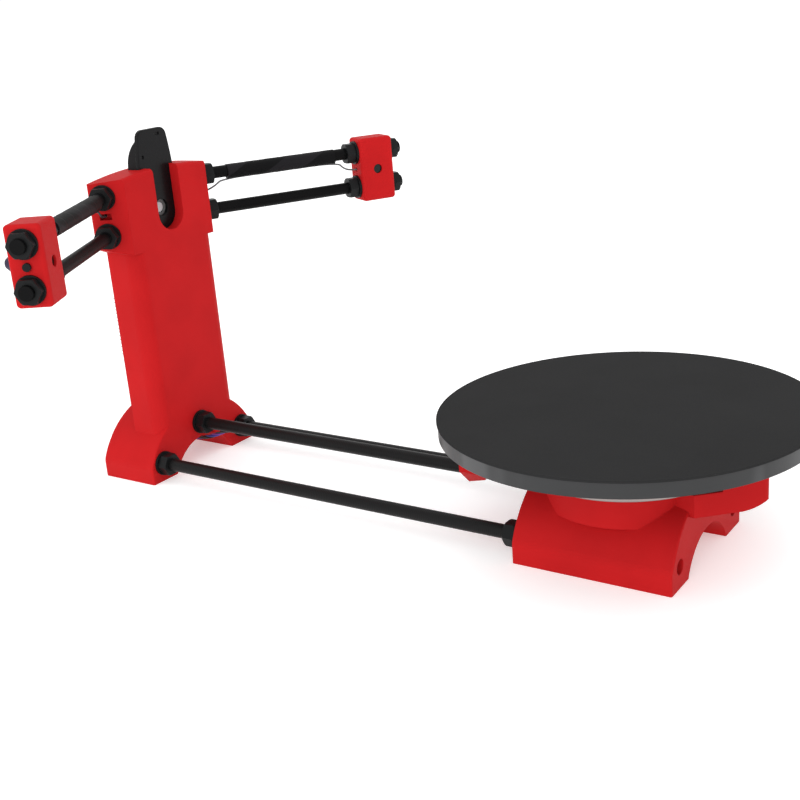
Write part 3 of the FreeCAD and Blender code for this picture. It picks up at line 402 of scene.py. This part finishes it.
# Frames carried along a path without twisting
def pathFrames(path):
    frames = []
    across = Vector((0, 1, 0))
    for index, point in enumerate(path):
        ahead = path[min(index + 1, len(path) - 1)] - path[max(index - 1, 0)]
        ahead.normalize()
        across = (across - ahead * across.dot(ahead)).normalized()
        frames.append((point, across, ahead.cross(across)))
    return frames


def motorWires(values, route):
    path = routePath("motorRoute", [spot(*point) for point in route])
    frames = pathFrames(path)
    builder = bmesh.new()
    mesh = bpy.data.meshes.new("motorWires")
    count = len(values["colors"])
    for wire, (colorName, color) in enumerate(values["colors"].items()):
        mesh.materials.append(makeFinish("motor_wire", "motorWire_" + colorName, color=color).material)
        rings = []
        travelled = 0.0
        previous = path[0]
        for point, across, other in frames:
            travelled += (point - previous).length
            previous = point
            angle = 2 * math.pi * (wire / count + travelled / values["twist"])
            centre = point + (across * math.cos(angle) + other * math.sin(angle)) * values["spread"]
            ring = []
            for step in range(values["sides"]):
                turn = 2 * math.pi * step / values["sides"]
                offset = across * math.cos(turn) + other * math.sin(turn)
                ring.append(builder.verts.new(centre + offset * values["radius"]))
            rings.append(ring)
        for first, second in zip(rings, rings[1:]):
            for step in range(values["sides"]):
                after = (step + 1) % values["sides"]
                face = builder.faces.new((first[step], first[after], second[after], second[step]))
                face.material_index = wire
                face.smooth = True
        for ring, order in ((rings[0], -1), (rings[-1], 1)):
            builder.faces.new(ring[::order]).material_index = wire
    builder.to_mesh(mesh)
    builder.free()
    addObject("motorWires", mesh, "frame", ["motor_lead"])


motorWires(wireValues, motorRoute)
print("motor wires made")

# The tape wound round each arm's upper rod and the lead under it, in millimetres
wrapValues = {"start": 18.4, "length": 78.8, "height": 187.375, "radius": 5.075, "step": 0.14,
              "tapePitch": 14.0, "bandPitch": 56.0, "segments": 72, "rings": 240,
              "stepSharpness": 12, "taper": 0.8, "bandEdge": (0.24, 0.26),
              # light is the colour of the painted highlight band, dark the tape's own colour
              "light": (0.011, 0.0103, 0.0118), "dark": (0.004, 0.004, 0.0043),
              "phase": {"left": 0.83, "right": 0.16}}


def makeWrap(sideName, side, values):
    builder = bmesh.new()
    axis = armDirection(side, 1, 0).normalized()
    across = armDirection(side, 0, 1).normalized()
    rings = []
    for index in range(values["rings"] + 1):
        reach = values["start"] + values["length"] * index / values["rings"]
        centre = armSpot(side, reach, 0, values["height"])
        ring = []
        for segment in range(values["segments"]):
            angle = 2 * math.pi * segment / values["segments"]
            lap = (reach / values["tapePitch"] - angle / (2 * math.pi)) % 1.0
            swell = values["step"] * (min(1.0, lap * values["stepSharpness"]) - lap * values["taper"])
            radius = (values["radius"] - values["step"] + swell) / 1000
            offset = across * math.cos(angle) + Vector((0, 0, 1)) * math.sin(angle)
            ring.append(builder.verts.new(centre + offset * radius))
        rings.append(ring)
    segments = values["segments"]
    for first, second in zip(rings, rings[1:]):
        for segment in range(segments):
            after = (segment + 1) % segments
            face = builder.faces.new((first[segment], second[segment], second[after], first[after]))
            face.smooth = True
    builder.faces.new(rings[0])
    builder.faces.new(rings[-1][::-1])
    bmesh.ops.recalc_face_normals(builder, faces=builder.faces)
    mesh = bpy.data.meshes.new("tapeWrap_" + sideName)
    builder.to_mesh(mesh)
    builder.free()
    finish = makeFinish("sleeve", "tapeWrap_" + sideName, color=values["dark"])
    origin = armSpot(side, 0, 0, values["height"])
    reach = finish.along(axis, origin)
    angle = finish.along((0.0, 0.0, 1.0), origin).math("ARCTAN2", finish.along(across, origin))
    phase = reach * (1000 / values["bandPitch"]) - angle / (2 * math.pi) + values["phase"][sideName]
    # The lighter helical band is a painted highlight standing in for the light patches along the wrap
    highlightBand = (phase.math("FRACT") - 0.5).math("ABSOLUTE")
    finish.tint(highlightBand.smooth(*values["bandEdge"]), values["light"])
    mesh.materials.append(finish.material)
    addObject("tapeWrap_" + sideName, mesh, "frame", ["lead_sleeve_" + sideName])


for sideName, side in sides.items():
    makeWrap(sideName, side, wrapValues)
print("tape wraps made")


# A box with softened edges, between two corners in millimetres
def softBox(builder, low, high, edge=0.15):
    made = bmesh.ops.create_cube(builder, size=1.0)
    for vertex in made["verts"]:
        parts = [low[axis] + (high[axis] - low[axis]) * (vertex.co[axis] + 0.5) for axis in range(3)]
        vertex.co = spot(*parts)
    edges = list(dict.fromkeys(link for vertex in made["verts"] for link in vertex.link_edges))
    bmesh.ops.bevel(builder, geom=edges, offset=edge / 1000, segments=2, affect="EDGES", profile=0.5)


def buildPiece(name, slot, build):
    builder = bmesh.new()
    build(builder)
    mesh = bpy.data.meshes.new(name)
    builder.to_mesh(mesh)
    builder.free()
    mesh.materials.append(finishes[slot].material)
    addObject(name, mesh)


# Small parts soldered to the control board, in millimetres. They rise from the board's face at x = back.
boardValues = {"back": -343.6,
               "chipSide": 9.0, "chipHeight": 1.3, "chipY": -12.5, "chipZ": 84.0,
               "pinCount": 11, "pinWidth": 0.4, "pinReach": 1.4, "pinRow": 0.9, "pinRoot": 0.95,
               "pinLow": 0.05, "pinHigh": 0.35, "pinEdge": 0.05,
               "headerY": 24.0, "headerPins": 16, "headerPitch": 2.54, "headerLow": 79.0,
               "headerRise": 2.5, "headerEdge": 0.35, "shortHeaderTop": 116.0,
               "postRise": 8.4, "postHalf": 0.32, "postEdge": 0.08,
               "canRadius": 3.1, "canHeight": 5.4, "canEdge": 0.4, "canRimSteps": 3, "canSides": 40,
               "canPlaces": ((17.0, 90.0), (17.0, 98.0)),
               "crystalRise": 3.2, "crystalY": (-20.0, -9.0), "crystalZ": (106.5, 110.5), "crystalEdge": 1.2}


def boardChip(builder):
    values = boardValues
    half = values["chipSide"] / 2
    softBox(builder, (values["back"] - values["chipHeight"], values["chipY"] - half, values["chipZ"] - half),
            (values["back"], values["chipY"] + half, values["chipZ"] + half))


# The two rows of posts; the row on the scanner's left is shorter.
def headerPlaces(values):
    places = []
    for sign in (-1, 1):
        for index in range(values["headerPins"]):
            z = values["headerLow"] + index * values["headerPitch"]
            if sign < 0 or z < values["shortHeaderTop"]:
                places.append((sign * values["headerY"], z))
    return places


def boardPins(builder):
    values = boardValues
    half = values["chipSide"] / 2
    thin = values["pinWidth"] / 2
    low = values["back"] - values["pinLow"]
    high = values["back"] - values["pinHigh"]
    y = values["chipY"]
    z = values["chipZ"]
    for index in range(values["pinCount"]):
        place = index - (values["pinCount"] - 1) / 2
        along = place * values["chipSide"] * values["pinRow"] / values["pinCount"]
        for sign in (-1, 1):
            near, far = sorted((sign * half * values["pinRoot"], sign * (half + values["pinReach"])))
            softBox(builder, (high, y + along - thin, z + near), (low, y + along + thin, z + far),
                    values["pinEdge"])
            softBox(builder, (high, y + near, z + along - thin), (low, y + far, z + along + thin),
                    values["pinEdge"])
    half = values["postHalf"]
    for y, z in headerPlaces(values):
        softBox(builder, (values["back"] - values["postRise"], y - half, z - half),
                (values["back"], y + half, z + half), values["postEdge"])


def boardHeaders(builder):
    values = boardValues
    half = values["headerPitch"] / 2
    for y, z in headerPlaces(values):
        softBox(builder, (values["back"] - values["headerRise"], y - half, z - half),
                (values["back"], y + half, z + half), values["headerEdge"])


# A can turned about its upright, both rims rounded
def turnedCan(builder, y, z, values):
    edge = values["canEdge"]
    count = values["canSides"]
    # The edge is measured square to the flat sides, so the corners go further in
    inset = edge / math.cos(math.pi / count)
    upper = []
    for step in range(values["canRimSteps"] + 1):
        turn = math.pi / 2 * step / values["canRimSteps"]
        upper.append((values["canHeight"] - edge * (1 - math.cos(turn)),
                      values["canRadius"] - inset * (1 - math.sin(turn))))
    lower = [(values["canHeight"] - rise, radius) for rise, radius in reversed(upper)]
    rings = []
    for rise, radius in upper + lower:
        ring = []
        for index in range(count):
            angle = 2 * math.pi * index / count
            ring.append(builder.verts.new(spot(values["back"] - rise, y + radius * math.cos(angle),
                                               z + radius * math.sin(angle))))
        rings.append(ring)
    for first, second in zip(rings, rings[1:]):
        for index in range(count):
            after = (index + 1) % count
            builder.faces.new((first[index], first[after], second[after], second[index]))
    builder.faces.new(rings[0][::-1])
    builder.faces.new(rings[-1])


def boardCans(builder):
    values = boardValues
    for y, z in values["canPlaces"]:
        turnedCan(builder, y, z, values)
    softBox(builder, (values["back"] - values["crystalRise"], values["crystalY"][0], values["crystalZ"][0]),
            (values["back"], values["crystalY"][1], values["crystalZ"][1]), values["crystalEdge"])


buildPiece("boardChip", "black_socket", boardChip)
buildPiece("boardPins", "tin", boardPins)
buildPiece("boardHeaders", "black_socket", boardHeaders)
buildPiece("boardCans", "tin", boardCans)
print("board parts made")

# Floor and studio light, in metres and watts; each light has a place, a target, a size and a power
studioValues = {"floorTone": (0.9, 0.9, 0.9), "floorSize": 30.0, "sky": 1.05, "floorGlow": 0.36,
                "lights": {"overhead": ((0.0, 0.0, 5.0), (0, 0, 0), 8.0, 40.0),
                           "side": ((0.6, -2.4, 1.2), (0, 0, 0.1), 1.6, 22.0)}}


def makeFloor(values):
    half = values["floorSize"] / 2
    mesh = bpy.data.meshes.new("floor")
    corners = [(-half, -half, 0), (half, -half, 0), (half, half, 0), (-half, half, 0)]
    mesh.from_pydata(corners, [], [(0, 1, 2, 3)])
    paint = Finish("floorPaint", values["floorTone"], 0.95, 0.0, drift=0.004, depth=0.000001, edge=0.0001)
    paint.set("Emission Color", (1.0, 1.0, 1.0))
    paint.set("Emission Strength", values["floorGlow"])
    mesh.materials.append(paint.material)
    addObject("floor", mesh, None)


def areaLight(name, place, target, size, power):
    data = bpy.data.lights.new(name, "AREA")
    data.size = size
    data.energy = power
    light = bpy.data.objects.new(name, data)
    scene.collection.objects.link(light)
    light.location = place
    light.rotation_mode = "QUATERNION"
    light.rotation_quaternion = (Vector(target) - Vector(place)).to_track_quat("-Z", "Y")


makeFloor(studioValues)
world = bpy.data.worlds.new("studio")
world.use_nodes = True
background = world.node_tree.nodes["Background"]
background.inputs["Color"].default_value = (1, 1, 1, 1)
background.inputs["Strength"].default_value = studioValues["sky"]
scene.world = world
scene.view_settings.view_transform = "Standard"
for name, (place, target, size, power) in studioValues["lights"].items():
    areaLight(name + "Light", place, target, size, power)
print("stage set")
